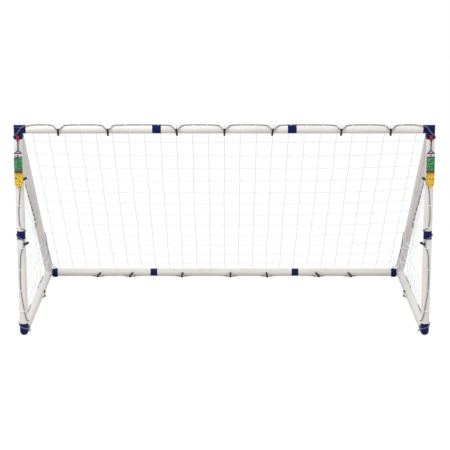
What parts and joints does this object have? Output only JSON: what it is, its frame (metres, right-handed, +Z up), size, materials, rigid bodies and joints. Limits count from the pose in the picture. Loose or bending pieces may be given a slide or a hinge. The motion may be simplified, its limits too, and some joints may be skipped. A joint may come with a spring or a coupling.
{
  "type": "soccer goal frame",
  "caption": "Free-standing football goal: plug-together white tubes with blue connectors, a net hung on border cords, and a tag on each post.",
  "frame": {"origin": "middle of the goal's footprint, on the ground", "axes": "+X across the goal to the right, +Y from the mouth to the back, +Z up"},
  "size_m": [2.4582, 1.4249, 1.2804],
  "materials": {
    "tube_white": "extruded white uPVC, satin gloss",
    "connector_blue": "moulded navy blue ABS, satin",
    "clip_black": "moulded black nylon",
    "net_twine": "braided white polypropylene twine",
    "border_cord": "braided grey elastic cord",
    "tag_red": "moulded red plastic",
    "tag_cord": "dark woven strap",
    "tag_hanger": "blue plastic with a paler web",
    "tag_card": "printed and laminated card"
  },
  "bodies": {
    "frame": {"crossbar_tube_left": "tube_white", "crossbar_tube_centre": "tube_white", "crossbar_tube_right": "tube_white", "rear_tube_left": "tube_white", "rear_tube_centre": "tube_white", "rear_tube_right": "tube_white", "post_tube_upper_left": "tube_white", "post_tube_lower_left": "tube_white", "stay_tube_left": "tube_white", "side_floor_tube_left": "tube_white", "post_tube_upper_right": "tube_white", "post_tube_lower_right": "tube_white", "stay_tube_right": "tube_white", "side_floor_tube_right": "tube_white", "top_corner_left": "connector_blue", "foot_elbow_left": "connector_blue", "rear_corner_left": "connector_blue", "crossbar_coupling_left": "connector_blue", "rear_coupling_left": "connector_blue", "post_coupling_left": "connector_blue", "top_corner_right": "connector_blue", "foot_elbow_right": "connector_blue", "rear_corner_right": "connector_blue", "crossbar_coupling_right": "connector_blue", "rear_coupling_right": "connector_blue", "post_coupling_right": "connector_blue", "crossbar_clips": "clip_black", "rear_clips": "clip_black", "post_clips_left": "clip_black", "post_clips_right": "clip_black", "floor_clip_left": "clip_black", "floor_clip_right": "clip_black", "net_back": "net_twine", "net_side_left": "net_twine", "net_side_right": "net_twine", "crossbar_cord": "border_cord", "rear_cord": "border_cord", "side_cord_left": "border_cord", "side_cord_right": "border_cord", "stay_cord_left": "border_cord", "stay_cord_right": "border_cord", "tag_clip_left": "tag_red", "tag_clip_right": "tag_red"},
    "left_tag": {"tag_strap_left": "tag_cord", "tag_hanger_left": "tag_hanger", "tag_card_left": "tag_card"},
    "right_tag": {"tag_strap_right": "tag_cord", "tag_hanger_right": "tag_hanger", "tag_card_right": "tag_card"}
  },
  "joints": [
    {"name": "left_tag_swing", "type": "hinge", "parent": "frame", "child": "left_tag", "pos_m": [-1.195, -0.70135, 1.188], "axis": [-1, 0, 0], "range_deg": [0, 75]},
    {"name": "right_tag_swing", "type": "hinge", "parent": "frame", "child": "right_tag", "pos_m": [1.195, -0.70135, 1.188], "axis": [-1, 0, 0], "range_deg": [0, 75]}
  ]
}
